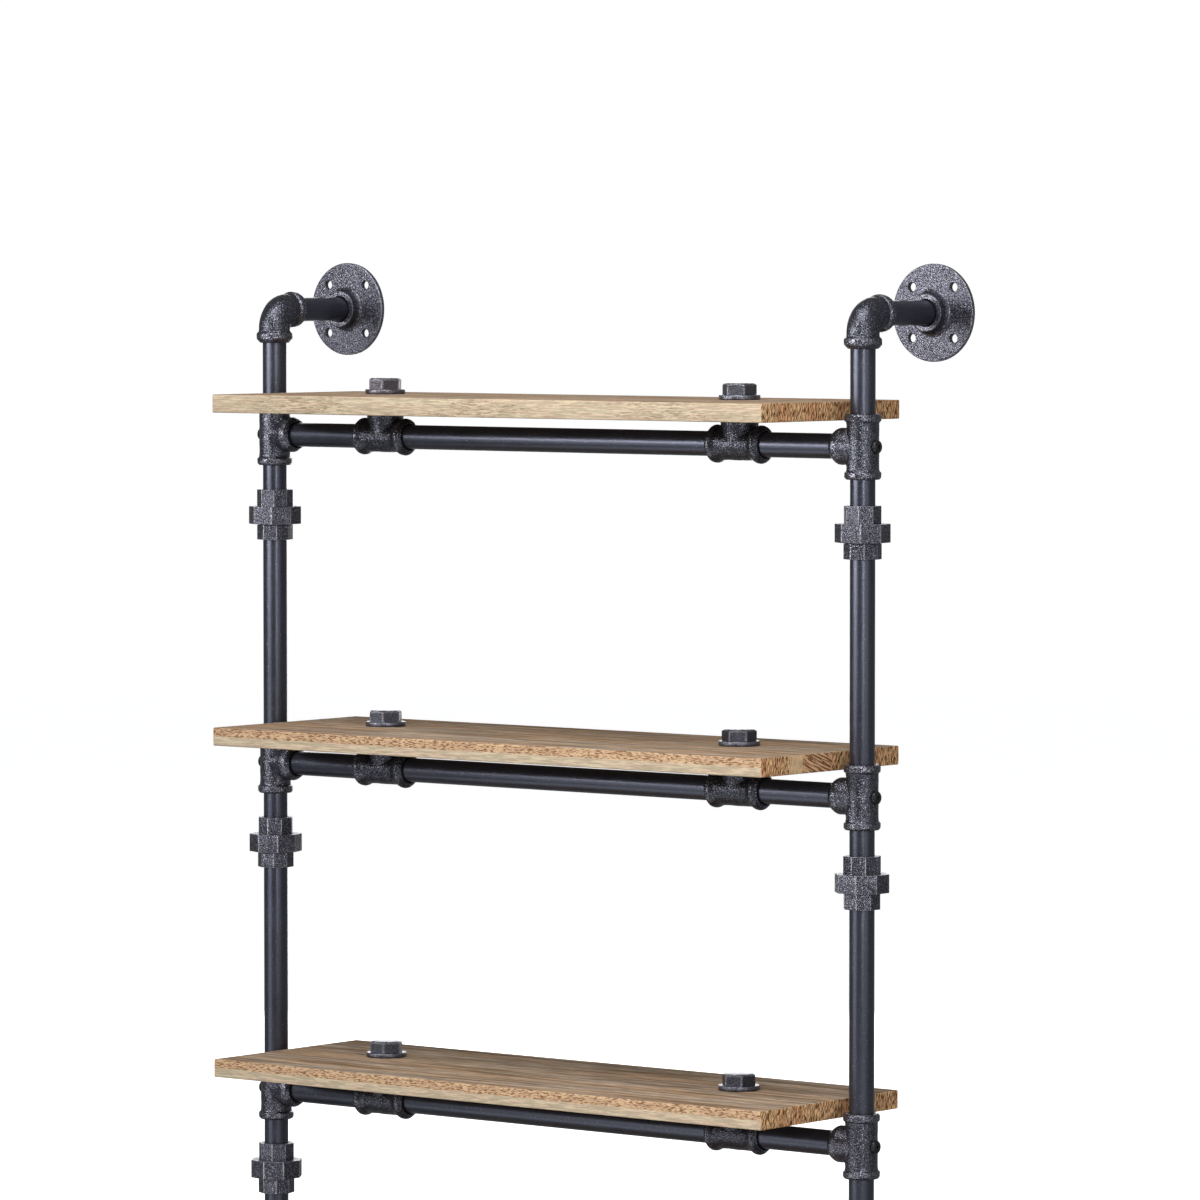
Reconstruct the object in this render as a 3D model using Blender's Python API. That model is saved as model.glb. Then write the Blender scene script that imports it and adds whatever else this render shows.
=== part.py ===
# Bookcase on pipe posts. Two posts stand just outside the ends of the boards and turn back to the wall
# through an elbow. At each level a crossbar joins the posts, and a board lies on two tees along it.
import math

import bmesh
import bpy
from mathutils import Matrix, Vector

# Driving sizes of the whole bookcase, in metres
SHELF_COUNT = 4
POST_SPACING = 0.652
SHELF_PITCH = 0.293
LOWEST_BAR_HEIGHT = 0.200
ARM_RISE = 0.111
WALL_REACH = 0.1025
PIPE_DIAMETER = 0.0213
PIPE_WALL = 0.0026
POST_TEE_BAND_RADIUS = 0.0156
BOARD_END_GAP = 0.0074
BOARD_DEPTH = 0.193
BOARD_THICKNESS = 0.016
BOARD_FORWARD = 0.013
BOARD_LIFT = 0.0215
SHELF_TEE_INSET = 0.1065

# Fits, and how finely round pieces are faceted
CLEARANCE = 0.0003
OVERRUN = 0.002
WELD_DISTANCE = 0.000001
ROUND_SIDES = 12
RIM_SIDES = 20
COLLAR_SIDES = 16
HOLE_SIDES = 8
SMOOTH_ANGLE = math.radians(35)

# Places that follow from the driving sizes
PIPE_RADIUS = PIPE_DIAMETER / 2
PIPE_BORE_RADIUS = PIPE_RADIUS - PIPE_WALL
SOCKET_RADIUS = PIPE_RADIUS + CLEARANCE
BOARD_LENGTH = POST_SPACING - 2 * (POST_TEE_BAND_RADIUS + BOARD_END_GAP)
SHELF_TEE_SPACING = BOARD_LENGTH - 2 * SHELF_TEE_INSET
OVERALL_DEPTH = BOARD_DEPTH / 2 + BOARD_FORWARD + WALL_REACH
WALL_Y = OVERALL_DEPTH / 2
POST_Y = WALL_Y - WALL_REACH
BOARD_Y = POST_Y - BOARD_FORWARD
TOP_BAR_HEIGHT = LOWEST_BAR_HEIGHT + SHELF_PITCH * (SHELF_COUNT - 1)
ARM_HEIGHT = TOP_BAR_HEIGHT + ARM_RISE
SIDES = {"left": -1, "right": 1}
LEVELS = range(1, SHELF_COUNT + 1)


def bar_height(level):
    # Levels count from the top down
    return TOP_BAR_HEIGHT - SHELF_PITCH * (level - 1)


def post_x(side):
    return SIDES[side] * POST_SPACING / 2


def tee_x(side):
    return SIDES[side] * SHELF_TEE_SPACING / 2


# Meshes: turned, cut and joined solids

def finished_mesh(name, bm):
    bmesh.ops.remove_doubles(bm, verts=bm.verts, dist=WELD_DISTANCE)
    bmesh.ops.recalc_face_normals(bm, faces=bm.faces)
    mesh = bpy.data.meshes.new(name)
    bm.to_mesh(mesh)
    bm.free()
    return mesh


def turned(name, profile, sides=ROUND_SIDES, turn=0):
    # A profile of (radius, height) points, spun once round Z; turn sets the angle of its first corner
    bm = bmesh.new()
    corners = [bm.verts.new((radius, 0, height)) for radius, height in profile]
    lines = [bm.edges.new(pair) for pair in zip(corners, corners[1:])]
    if profile[0][0] > 0:
        lines.append(bm.edges.new((corners[-1], corners[0])))
    bmesh.ops.spin(bm, geom=corners + lines, cent=(0, 0, 0), axis=(0, 0, 1), angle=math.tau,
                   steps=sides, use_merge=True)
    bmesh.ops.remove_doubles(bm, verts=bm.verts, dist=WELD_DISTANCE)
    # Each end face becomes one flat face with no corner at its middle
    poles = [corner for corner in bm.verts if corner.co.xy.length < WELD_DISTANCE]
    bmesh.ops.dissolve_verts(bm, verts=poles)
    bmesh.ops.rotate(bm, verts=bm.verts, cent=(0, 0, 0), matrix=Matrix.Rotation(turn, 3, "Z"))
    return finished_mesh(name, bm)


def rod(name, radius, low, high, sides=ROUND_SIDES):
    return turned(name, [(0, low), (radius, low), (radius, high), (0, high)], sides)


def tube(name, length):
    # A length of pipe from its lower end at the origin up along Z
    profile = [(PIPE_BORE_RADIUS, 0), (PIPE_RADIUS, 0), (PIPE_RADIUS, length), (PIPE_BORE_RADIUS, length)]
    return turned(name, profile)


def boolean(base, tools, operation):
    # The base mesh with each tool mesh joined to it (UNION) or cut from it (DIFFERENCE)
    collection = bpy.context.scene.collection
    body = bpy.data.objects.new(base.name, base)
    helpers = [bpy.data.objects.new(tool.name, tool) for tool in tools]
    for item in [body, *helpers]:
        collection.objects.link(item)
    for helper in helpers:
        step = body.modifiers.new(helper.name, "BOOLEAN")
        step.operation = operation
        step.solver = "EXACT"
        step.object = helper
    evaluated = body.evaluated_get(bpy.context.evaluated_depsgraph_get())
    result = bpy.data.meshes.new_from_object(evaluated)
    for item in [body, *helpers]:
        bpy.data.objects.remove(item)
    return result


def moved(mesh, matrix):
    mesh.transform(matrix)
    return mesh


def along_x(mesh):
    # Turns a mesh that runs along Z so that it runs along X
    return moved(mesh, Matrix.Rotation(math.pi / 2, 4, "Y"))


# Materials: colour, roughness and metallic value of each finish

def finish(name, colour, roughness, metallic):
    material = bpy.data.materials.new(name)
    material.use_nodes = True
    shader = material.node_tree.nodes["Principled BSDF"]
    shader.inputs["Base Color"].default_value = (*colour, 1)
    shader.inputs["Roughness"].default_value = roughness
    shader.inputs["Metallic"].default_value = metallic
    return material


def placed(name, mesh, material, location, turn=(0, 0, 0)):
    # Each copy is its own object; copies may share a mesh
    if not mesh.materials:
        mesh.materials.append(material)
        mesh.shade_smooth()
        mesh.set_sharp_from_angle(angle=SMOOTH_ANGLE)
    item = bpy.data.objects.new(name, mesh)
    item.location = location
    item.rotation_euler = turn
    bpy.context.scene.collection.objects.link(item)
    return item


# Tees. A mouth outline lists (radius, distance back from the mouth): a lip, a raised band, a slope
TEE_BODY_RADIUS = 0.0138
TEE_ROOT_RADIUS = 0.0126

POST_TEE_HALF_RUN = 0.0274
POST_TEE_BAND_WIDTH = 0.0060
POST_TEE_BAND_SLOPE = 0.0015
POST_TEE_REACH = 0.0265
POST_TEE_LIP_RADIUS = 0.0130
POST_TEE_LIP_LENGTH = 0.0040
POST_TEE_CREST_WIDTH = 0.0045
SOCKET_DEPTH = 0.0130
CROSSBAR_END_GAP = 0.0120
TEE_SCREW_HOLE_RADIUS = 0.0032

SHELF_TEE_HALF_RUN = 0.0283
SHELF_TEE_BAND_RADIUS = 0.0163
SHELF_TEE_LIP_RADIUS = 0.0126
SHELF_TEE_LIP_LENGTH = 0.0033
SHELF_TEE_CREST_WIDTH = 0.0030
SHELF_TEE_BAND_SLOPE = 0.0050
SHELF_TEE_SEAT_WIDTH = 0.0042
SHELF_TEE_REACH = BOARD_LIFT - CLEARANCE


def tee_body(name, half_run, run_mouth, reach, branch_mouth):
    # Barrel along Z, with a branch along +X that flares from its root to its own mouth, before boring
    low = [(radius, back - half_run) for radius, back in run_mouth]
    high = [(radius, half_run - back) for radius, back in reversed(run_mouth)]
    barrel = turned(name, [(0, -half_run), *low, *high, (0, half_run)])
    flare = [(radius, reach - back) for radius, back in reversed(branch_mouth)]
    branch = turned(name + " branch", [(0, 0), (TEE_ROOT_RADIUS, 0), *flare, (0, reach)])
    return boolean(barrel, [along_x(branch)], "UNION")


def post_tee_mesh():
    # Plain bands on the run, and a band with a tapered lip on the branch
    band = POST_TEE_BAND_RADIUS
    run_mouth = [(band, 0), (band, POST_TEE_BAND_WIDTH),
                 (TEE_BODY_RADIUS, POST_TEE_BAND_WIDTH + POST_TEE_BAND_SLOPE)]
    branch_mouth = [(POST_TEE_LIP_RADIUS, 0), (band, POST_TEE_LIP_LENGTH),
                    (band, POST_TEE_LIP_LENGTH + POST_TEE_CREST_WIDTH)]
    body = tee_body("post tee", POST_TEE_HALF_RUN, run_mouth, POST_TEE_REACH, branch_mouth)
    run_end = POST_TEE_HALF_RUN + OVERRUN
    run_bore = rod("run bore", SOCKET_RADIUS, -run_end, run_end)
    branch_bore = along_x(rod("branch bore", SOCKET_RADIUS, 0, POST_TEE_REACH + OVERRUN))
    screw_start = -TEE_BODY_RADIUS - OVERRUN
    screw_hole = along_x(rod("screw hole", TEE_SCREW_HOLE_RADIUS, screw_start, 0, HOLE_SIDES))
    return boolean(body, [run_bore, branch_bore, screw_hole], "DIFFERENCE")


def shelf_tee_mesh():
    # A rounded bead behind a tapered lip at each end of the run, and a wide seat under the board
    band, crest_end = SHELF_TEE_BAND_RADIUS, SHELF_TEE_LIP_LENGTH + SHELF_TEE_CREST_WIDTH
    run_mouth = [(SHELF_TEE_LIP_RADIUS, 0), (band, SHELF_TEE_LIP_LENGTH), (band, crest_end),
                 (TEE_BODY_RADIUS, crest_end + SHELF_TEE_BAND_SLOPE)]
    seat_mouth = [(band, 0), (band, SHELF_TEE_SEAT_WIDTH)]
    body = tee_body("shelf tee", SHELF_TEE_HALF_RUN, run_mouth, SHELF_TEE_REACH, seat_mouth)
    run_end = SHELF_TEE_HALF_RUN + OVERRUN
    run_bore = rod("run bore", SOCKET_RADIUS, -run_end, run_end)
    stem_bore = along_x(rod("stem bore", PLUG_STEM_RADIUS + CLEARANCE, 0, SHELF_TEE_REACH + OVERRUN))
    # Turned so that the barrel lies along X and the branch stands up
    return moved(boolean(body, [run_bore, stem_bore], "DIFFERENCE"), Matrix.Rotation(-math.pi / 2, 4, "Y"))


# Plug through the board: stem, round collar and a hexagonal head with a chamfered top
PLUG_STEM_RADIUS = 0.0102
PLUG_COLLAR_RADIUS = 0.0177
PLUG_COLLAR_HEIGHT = 0.0040
PLUG_COLLAR_EDGE = 0.0008
PLUG_HEAD_FLATS = 0.0262
PLUG_HEAD_HEIGHT = 0.0098
PLUG_HEAD_CHAMFER_RISE = 0.0016
PLUG_HEAD_CHAMFER_RUN = 0.0028
PLUG_TIP_GAP = 0.0015
HEX_SIDES = 6
# How far round the head of each plug is screwed, in degrees, by level
PLUG_TURNS = {"left": (0, 0, 1, 41), "right": (23, 33, 17, 9)}


def plug_mesh(head_turn):
    # Origin at the underside of the collar; only the head is turned, by an angle in degrees
    stem_depth = CLEARANCE + BOARD_THICKNESS + BOARD_LIFT - PIPE_RADIUS - PLUG_TIP_GAP
    head_low, head_top = PLUG_COLLAR_HEIGHT / 2, PLUG_COLLAR_HEIGHT + PLUG_HEAD_HEIGHT
    corner_radius = PLUG_HEAD_FLATS / 2 / math.cos(math.pi / HEX_SIDES)
    stem = rod("stem", PLUG_STEM_RADIUS, -stem_depth, head_low)
    collar = turned("shelf plug", [
        (0, 0), (PLUG_COLLAR_RADIUS, 0), (PLUG_COLLAR_RADIUS, PLUG_COLLAR_HEIGHT - PLUG_COLLAR_EDGE),
        (PLUG_COLLAR_RADIUS - PLUG_COLLAR_EDGE, PLUG_COLLAR_HEIGHT), (0, PLUG_COLLAR_HEIGHT)], COLLAR_SIDES)
    head = turned("head", [
        (0, head_low), (corner_radius, head_low), (corner_radius, head_top - PLUG_HEAD_CHAMFER_RISE),
        (corner_radius - PLUG_HEAD_CHAMFER_RUN, head_top), (0, head_top)],
        HEX_SIDES, math.radians(head_turn))
    return boolean(collar, [stem, head], "UNION")


# Board with a hole for each plug and its edges eased
BOARD_EDGE = 0.0008


def board_mesh():
    bm = bmesh.new()
    bmesh.ops.create_cube(bm, size=1)
    bmesh.ops.scale(bm, verts=bm.verts, vec=(BOARD_LENGTH, BOARD_DEPTH, BOARD_THICKNESS))
    bmesh.ops.translate(bm, verts=bm.verts, vec=(0, 0, BOARD_THICKNESS / 2))
    bmesh.ops.bevel(bm, geom=bm.edges[:], offset=BOARD_EDGE, segments=1, affect="EDGES")
    slab = finished_mesh("shelf board", bm)
    holes = []
    for side in SIDES:
        hole = rod(side + " hole", PLUG_STEM_RADIUS + CLEARANCE, -OVERRUN, BOARD_THICKNESS + OVERRUN)
        holes.append(moved(hole, Matrix.Translation((tee_x(side), POST_Y - BOARD_Y, 0))))
    return boolean(slab, holes, "DIFFERENCE")


# Crossbar: a tube with a tapped insert in each end for the screw through the post tee
INSERT_DEPTH = 0.0100
INSERT_BORE_RADIUS = 0.0026


def crossbar_mesh():
    half = POST_SPACING / 2 - CROSSBAR_END_GAP
    inner = half - INSERT_DEPTH
    profile = [(INSERT_BORE_RADIUS, -half), (PIPE_RADIUS, -half), (PIPE_RADIUS, half),
               (INSERT_BORE_RADIUS, half), (INSERT_BORE_RADIUS, inner), (PIPE_BORE_RADIUS, inner),
               (PIPE_BORE_RADIUS, -inner), (INSERT_BORE_RADIUS, -inner)]
    return along_x(turned("crossbar", profile))


# Union below each post tee: octagonal upper and lower ends with a larger octagonal nut between
UNION_DROP = 0.0218
UNION_UPPER_LENGTH = 0.0150
UNION_NUT_LENGTH = 0.0157
UNION_LOWER_LENGTH = 0.0140
UNION_END_FLATS = 0.0298
UNION_NUT_FLATS = 0.0434
UNION_EDGE = 0.0010
UNION_PIPE_GAP = 0.0080
UNION_SIDES = 8
# How far round each union's upper end, nut and lower end are screwed, in degrees, by level
UNION_TURNS = {"left": ((37, 33, 1), (15, 0, 34), (27, 12, 40)),
               "right": ((24, 32, 41), (2, 23, 19), (35, 8, 12))}
UNION_LENGTH = UNION_UPPER_LENGTH + UNION_NUT_LENGTH + UNION_LOWER_LENGTH


def chamfered_prism(name, flats, low, high, turn):
    corner_radius = flats / 2 / math.cos(math.pi / UNION_SIDES)
    profile = [(0, low), (corner_radius - UNION_EDGE, low), (corner_radius, low + UNION_EDGE),
               (corner_radius, high - UNION_EDGE), (corner_radius - UNION_EDGE, high), (0, high)]
    return turned(name, profile, UNION_SIDES, turn)


def union_mesh(turns):
    # Origin at the top face, running down. Both ends reach a third of the way into the nut
    upper_turn, nut_turn, lower_turn = (math.radians(turn) for turn in turns)
    hidden = UNION_NUT_LENGTH / 3
    nut_low = UNION_LOWER_LENGTH - UNION_LENGTH
    nut = chamfered_prism("union", UNION_NUT_FLATS, nut_low, -UNION_UPPER_LENGTH, nut_turn)
    upper = chamfered_prism("upper end", UNION_END_FLATS, -UNION_UPPER_LENGTH - hidden, 0, upper_turn)
    lower = chamfered_prism("lower end", UNION_END_FLATS, -UNION_LENGTH, nut_low + hidden, lower_turn)
    bore = rod("bore", SOCKET_RADIUS, -UNION_LENGTH - OVERRUN, OVERRUN)
    return boolean(boolean(nut, [upper, lower], "UNION"), [bore], "DIFFERENCE")


def union_top(level):
    return bar_height(level) - POST_TEE_HALF_RUN - UNION_DROP


def union_middle(level):
    return union_top(level) - UNION_UPPER_LENGTH - UNION_NUT_LENGTH / 2


# Elbow at the top of each post: a quarter bend with a bead band and a tapered lip at each mouth
ELBOW_BEND_RADIUS = 0.0165
ELBOW_REACH = 0.0295
ELBOW_BODY_RADIUS = 0.0140
ELBOW_BAND_RADIUS = 0.0160
ELBOW_BAND_WIDTH = 0.0068
ELBOW_BAND_EDGE = 0.0012
ELBOW_LIP_LENGTH = 0.0034
ELBOW_LIP_RADIUS = 0.0128
ELBOW_BEND_STEPS = 5
ELBOW_SOCKET_DEPTH = 0.0125


def bent_rod(name, radius, reach):
    # A disc carried up a straight leg, round a quarter turn from Z to Y, and out along a second leg
    leg = reach - ELBOW_BEND_RADIUS
    bm = bmesh.new()
    disc = bmesh.ops.create_circle(bm, cap_ends=True, segments=ROUND_SIDES, radius=radius)
    bmesh.ops.translate(bm, verts=disc["verts"], vec=(0, 0, -reach))

    def extruded(face):
        made = bmesh.ops.extrude_face_region(bm, geom=[face])["geom"]
        bmesh.ops.delete(bm, geom=[face], context="FACES_ONLY")
        return [part for part in made if isinstance(part, bmesh.types.BMFace)][0]

    start = bm.faces[:][0]
    bottom = start.copy()
    first = extruded(start)
    bmesh.ops.translate(bm, verts=first.verts, vec=(0, 0, leg))
    step = Matrix.Rotation(-math.pi / 2 / ELBOW_BEND_STEPS, 3, "X")
    for _ in range(ELBOW_BEND_STEPS):
        first = extruded(first)
        bmesh.ops.rotate(bm, verts=first.verts, cent=(0, ELBOW_BEND_RADIUS, -ELBOW_BEND_RADIUS), matrix=step)
    last = extruded(first)
    bmesh.ops.translate(bm, verts=last.verts, vec=(0, leg, 0))
    bottom.normal_flip()
    return finished_mesh(name, bm)


def elbow_mesh():
    band_low = -ELBOW_REACH
    band_high = band_low + ELBOW_LIP_LENGTH + ELBOW_BAND_WIDTH
    mouth_profile = [
        (0, band_low), (ELBOW_LIP_RADIUS, band_low), (ELBOW_BAND_RADIUS, band_low + ELBOW_LIP_LENGTH),
        (ELBOW_BAND_RADIUS, band_high - ELBOW_BAND_EDGE), (ELBOW_BODY_RADIUS, band_high), (0, band_high)]
    lower_mouth = turned("lower mouth", mouth_profile)
    rear_mouth = moved(turned("rear mouth", mouth_profile), Matrix.Rotation(math.pi / 2, 4, "X"))
    bend = bent_rod("elbow", ELBOW_BODY_RADIUS, ELBOW_REACH - ELBOW_LIP_LENGTH)
    bore = bent_rod("bore", SOCKET_RADIUS, ELBOW_REACH + OVERRUN)
    return boolean(boolean(bend, [lower_mouth, rear_mouth], "UNION"), [bore], "DIFFERENCE")


# Flanges: a round plate with a raised hub and four holes. One holds each arm to the wall, and one
# each leg to the floor
FLANGE_RADIUS = 0.0415
FLANGE_THICKNESS = 0.0040
FLANGE_EDGE = 0.0006
FLANGE_HUB_HEIGHT = 0.0145
FLANGE_HUB_RADIUS = 0.0163
FLANGE_HUB_FOOT_RADIUS = 0.0188
FLANGE_HUB_FOOT_RISE = 0.0030
FLANGE_HOLE_RADIUS = 0.0037
FLANGE_HOLE_CIRCLE_RADIUS = 0.0306
FLANGE_HOLE_COUNT = 4
ARM_WALL_GAP = 0.0015


def flange_body(name):
    # Back face at the origin, hub up along Z, holes cut
    foot = FLANGE_THICKNESS + FLANGE_HUB_FOOT_RISE
    plate = turned(name, [
        (0, 0), (FLANGE_RADIUS, 0), (FLANGE_RADIUS, FLANGE_THICKNESS - FLANGE_EDGE),
        (FLANGE_RADIUS - FLANGE_EDGE, FLANGE_THICKNESS), (FLANGE_HUB_FOOT_RADIUS, FLANGE_THICKNESS),
        (FLANGE_HUB_RADIUS, foot), (FLANGE_HUB_RADIUS, FLANGE_HUB_HEIGHT), (0, FLANGE_HUB_HEIGHT)], RIM_SIDES)
    holes = []
    for number in range(FLANGE_HOLE_COUNT):
        angle = math.tau * (number + 1 / 2) / FLANGE_HOLE_COUNT
        hole = rod("hole", FLANGE_HOLE_RADIUS, -OVERRUN, FLANGE_THICKNESS + OVERRUN, HOLE_SIDES)
        place = Vector((math.cos(angle), math.sin(angle), 0)) * FLANGE_HOLE_CIRCLE_RADIUS
        holes.append(moved(hole, Matrix.Translation(place)))
    return boolean(plate, holes, "DIFFERENCE")


def wall_flange_mesh():
    bore = rod("bore", SOCKET_RADIUS, -OVERRUN, FLANGE_HUB_HEIGHT + OVERRUN)
    return boolean(flange_body("wall flange"), [bore], "DIFFERENCE")


def leg_mesh():
    # The lowest pipe, screwed tight into its floor flange
    top = LOWEST_BAR_HEIGHT - POST_TEE_HALF_RUN + SOCKET_DEPTH
    pipe = rod("pipe", PIPE_RADIUS, FLANGE_THICKNESS, top)
    bore = rod("bore", PIPE_BORE_RADIUS, -OVERRUN, top + OVERRUN)
    return boolean(boolean(flange_body("leg"), [pipe], "UNION"), [bore], "DIFFERENCE")


# Assembly

def pipe_between(name, mesh_name, material, low, high, x):
    # A post pipe from one height to another
    mesh = bpy.data.meshes.get(mesh_name) or tube(mesh_name, high - low)
    return placed(name, mesh, material, (x, POST_Y, low))


def build_levels(paint, iron, bright_iron, oak):
    crossbar, post_tee, shelf_tee = crossbar_mesh(), post_tee_mesh(), shelf_tee_mesh()
    board = board_mesh()
    for level in LEVELS:
        height = bar_height(level)
        board_low = height + BOARD_LIFT
        placed(f"crossbar_{level}", crossbar, paint, (0, POST_Y, height))
        placed(f"shelf_board_{level}", board, oak, (0, BOARD_Y, board_low))
        for side in SIDES:
            turn = math.pi if side == "right" else 0
            placed(f"post_tee_{side}_{level}", post_tee, iron, (post_x(side), POST_Y, height), (0, 0, turn))
            placed(f"shelf_tee_{side}_{level}", shelf_tee, iron, (tee_x(side), POST_Y, height))
            collar_low = board_low + BOARD_THICKNESS + CLEARANCE
            plug = plug_mesh(PLUG_TURNS[side][level - 1])
            placed(f"shelf_plug_{side}_{level}", plug, bright_iron, (tee_x(side), POST_Y, collar_low))


def build_posts(paint, iron):
    for side in SIDES:
        x = post_x(side)
        for level in LEVELS[:-1]:
            union = union_mesh(UNION_TURNS[side][level - 1])
            placed(f"union_{side}_{level}", union, iron, (x, POST_Y, union_top(level)))
            nipple_top = bar_height(level) - POST_TEE_HALF_RUN + SOCKET_DEPTH
            pipe_between(f"post_nipple_{side}_{level}", "post nipple", paint,
                         union_middle(level) + UNION_PIPE_GAP / 2, nipple_top, x)
            pipe_between(f"post_pipe_{side}_{level}", "post pipe", paint,
                         bar_height(level + 1) + POST_TEE_HALF_RUN - SOCKET_DEPTH,
                         union_middle(level) - UNION_PIPE_GAP / 2, x)


def build_ends(paint, iron):
    elbow, flange, leg = elbow_mesh(), wall_flange_mesh(), leg_mesh()
    arm_start = POST_Y + ELBOW_REACH - ELBOW_SOCKET_DEPTH
    arm = tube("wall arm", WALL_Y - ARM_WALL_GAP - arm_start)
    for side in SIDES:
        x = post_x(side)
        pipe_between(f"top_pipe_{side}", "top pipe", paint,
                     TOP_BAR_HEIGHT + POST_TEE_HALF_RUN - SOCKET_DEPTH,
                     ARM_HEIGHT - ELBOW_REACH + ELBOW_SOCKET_DEPTH, x)
        placed(f"elbow_{side}", elbow, iron, (x, POST_Y, ARM_HEIGHT))
        placed(f"wall_arm_{side}", arm, paint, (x, arm_start, ARM_HEIGHT), (-math.pi / 2, 0, 0))
        placed(f"wall_flange_{side}", flange, iron, (x, WALL_Y, ARM_HEIGHT), (math.pi / 2, 0, 0))
        placed(f"leg_{side}", leg, iron, (x, POST_Y, 0))


def main():
    for item in list(bpy.data.objects):
        bpy.data.objects.remove(item)
    paint = finish("charcoal pipe paint", (0.030, 0.033, 0.040), 0.42, 0.6)
    iron = finish("dark cast iron", (0.028, 0.027, 0.028), 0.55, 0.8)
    bright_iron = finish("plug iron", (0.045, 0.044, 0.046), 0.45, 0.85)
    oak = finish("oak board", (0.48, 0.34, 0.20), 0.6, 0.0)
    build_levels(paint, iron, bright_iron, oak)
    build_posts(paint, iron)
    build_ends(paint, iron)


main()
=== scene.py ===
import math

import bmesh
import bpy
import numpy as np
from mathutils import Matrix, Vector


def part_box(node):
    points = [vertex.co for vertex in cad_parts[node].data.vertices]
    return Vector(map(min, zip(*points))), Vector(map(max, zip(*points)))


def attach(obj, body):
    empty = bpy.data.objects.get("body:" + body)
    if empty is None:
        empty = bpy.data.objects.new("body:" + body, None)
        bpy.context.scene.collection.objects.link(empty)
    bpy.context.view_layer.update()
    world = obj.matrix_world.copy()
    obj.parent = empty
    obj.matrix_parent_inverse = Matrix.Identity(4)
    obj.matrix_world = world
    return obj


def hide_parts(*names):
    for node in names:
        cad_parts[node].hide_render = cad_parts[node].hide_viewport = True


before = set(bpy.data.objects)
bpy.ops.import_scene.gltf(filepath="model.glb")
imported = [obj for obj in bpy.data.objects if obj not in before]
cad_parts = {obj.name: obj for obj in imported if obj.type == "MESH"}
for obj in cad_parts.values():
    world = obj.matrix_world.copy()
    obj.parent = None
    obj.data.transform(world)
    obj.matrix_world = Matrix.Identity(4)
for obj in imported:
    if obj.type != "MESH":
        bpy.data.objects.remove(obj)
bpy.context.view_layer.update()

mm = 0.001  # sizes in the pieces' dictionaries are in millimetres, angles in degrees
levels = (1, 2, 3, 4)  # from the top down
sides = ("left", "right")
nearAxis = 0.01  # radius at which an outline starts or ends on its axis
outward = {"left": -1, "right": 1}
print("frame loaded,", len(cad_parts), "nodes")


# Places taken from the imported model

def middle(node):
    low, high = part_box(node)
    return (low + high) / 2


postX = {side: middle("top_pipe_" + side).x for side in sides}
postY = middle("top_pipe_left").y
barHeight = {level: middle(f"crossbar_{level}").z for level in levels}
# Heights halfway from each level down to the next
halfway = {level: (barHeight[level] + barHeight[level + 1]) / 2 for level in levels[:-1]}


# Surfaces

def softProfile(corners, closed=True, steps=5):
    # Each corner (r, h, ease) becomes a quadratic curve that leaves one side and meets the other
    # at a distance ease from the corner, at most nearly half the side; an ease of 0 keeps the corner.
    # Points that fall together are thinned to one
    table = np.array(corners, float) * mm
    spot, ease = table[:, :2], table[:, 2:3]
    back, ahead = np.roll(spot, 1, 0) - spot, np.roll(spot, -1, 0) - spot
    ends = []
    for way in (back, ahead):
        length = np.maximum(np.linalg.norm(way, axis=1, keepdims=True), 1e-9)
        ends.append(spot + way / length * np.minimum(ease, length * 0.49))
    start, end = ends
    t = np.linspace(0, 1, steps + 1)[None, :, None]
    curve = (1 - t) ** 2 * start[:, None] + 2 * t * (1 - t) * spot[:, None] + t ** 2 * end[:, None]
    line = curve.reshape(-1, 2)
    apart = np.linalg.norm(line - np.roll(line, 1, 0), axis=1) > 1e-7
    apart[0] |= not closed
    return line[apart]


def refined(line, step):
    # The same polyline with extra points every step along it, apart from those that would almost meet
    # one of its own
    run = np.concatenate([[0], np.cumsum(np.linalg.norm(np.diff(line, axis=0), axis=1))])
    extra = np.arange(0, run[-1], step * mm)
    extra = extra[np.abs(extra[:, None] - run[None, :]).min(1) > 0.2 * step * mm]
    stations = np.sort(np.concatenate([run, extra]))
    return np.stack([np.interp(stations, run, line[:, 0]), np.interp(stations, run, line[:, 1])], 1)


def ringAngles(columns):
    return np.arange(columns)[None, :] * (math.tau / columns)


def roundGrid(radius, height, angle):
    # Point = (r cos a, r sin a, h)
    return np.stack([radius * np.cos(angle), radius * np.sin(angle), height + 0 * angle], -1)


def turnedGrid(line, columns, shape=None):
    # The outline's points (r, h) turned round Z; shape(r, h, a) may change r
    angle = ringAngles(columns)
    radius, height = line[:, :1] + 0 * angle, line[:, 1:2] + 0 * angle
    if shape is not None:
        radius = shape(radius, height, angle)
    return roundGrid(radius, height, angle)


def softPolygon(angle, sides, firstFlat, power):
    # Radius of a polygon whose flats lie at 1, the middle of the first one at the angle firstFlat: one over
    # the p-norm of the cosines of the angles from each flat's middle. A higher power gives sharper corners
    away = angle[:, :, None] - firstFlat - np.arange(sides) * (math.tau / sides)
    return 1 / (np.maximum(np.cos(away), 0) ** power).sum(-1) ** (1 / power)


def skin(name, grid, joined=True):
    # Quads over a grid whose columns close on themselves. Rows close too where joined, and otherwise
    # one flat face closes each end
    rows, columns = grid.shape[:2]
    row = np.arange(rows if joined else rows - 1)[:, None]
    column = np.arange(columns)[None, :]
    rowAfter, columnAfter = (row + 1) % rows, (column + 1) % columns
    corners = [row * columns + column, row * columns + columnAfter,
               rowAfter * columns + columnAfter, rowAfter * columns + column]
    faces = np.stack(corners, -1).reshape(-1, 4).tolist()
    if not joined:
        ring = np.arange(columns)
        faces += [ring[::-1].tolist(), (ring + (rows - 1) * columns).tolist()]
    mesh = bpy.data.meshes.new(name)
    mesh.from_pydata(grid.reshape(-1, 3), [], faces)
    return mesh


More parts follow.
